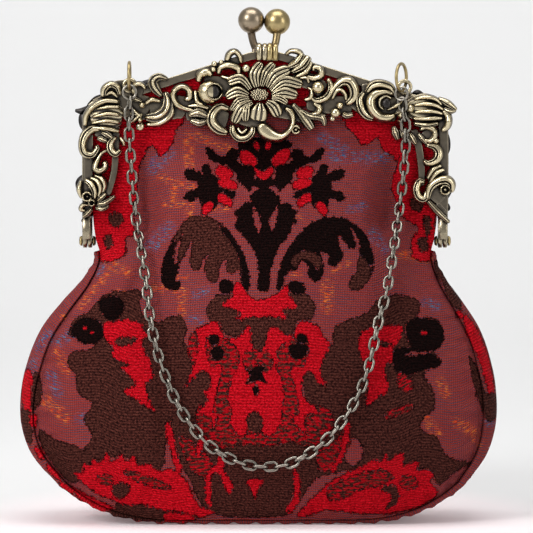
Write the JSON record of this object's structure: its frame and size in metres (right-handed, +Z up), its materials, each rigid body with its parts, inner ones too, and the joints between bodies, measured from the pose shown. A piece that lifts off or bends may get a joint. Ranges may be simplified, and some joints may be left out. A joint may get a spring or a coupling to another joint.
{
  "type": "chatelaine bag",
  "caption": "Small cloth frame bag with a gusset, hung in hinged cast metal frames with a ball clasp and a link chain, standing on its flat base.",
  "frame": {"origin": "middle of the flat stretch of the cloth base, on the surface the bag stands on", "axes": "+Z up, +X to the right seen from the front, and the front faces -Y"},
  "size_m": [0.2198, 0.0774, 0.2359],
  "materials": {
    "cloth": "ribbed carpet weave with cut velvet figures",
    "cast_metal": "antique brass, dark in the recesses and rubbed bright on the ridges",
    "polished_metal": "worn antique brass",
    "chain_metal": "dark worn nickel plate"
  },
  "bodies": {
    "root": {"front_panel": "cloth", "back_panel": "cloth", "gusset": "cloth", "front_frame": "cast_metal", "back_frame": "cast_metal", "front_clasp": "polished_metal", "back_clasp": "polished_metal", "left_hinge_pin": "polished_metal", "right_hinge_pin": "polished_metal", "left_jump_ring": "polished_metal", "right_jump_ring": "polished_metal", "left_end_link": "chain_metal", "right_end_link": "chain_metal", "chain": "chain_metal"}
  },
  "joints": []
}
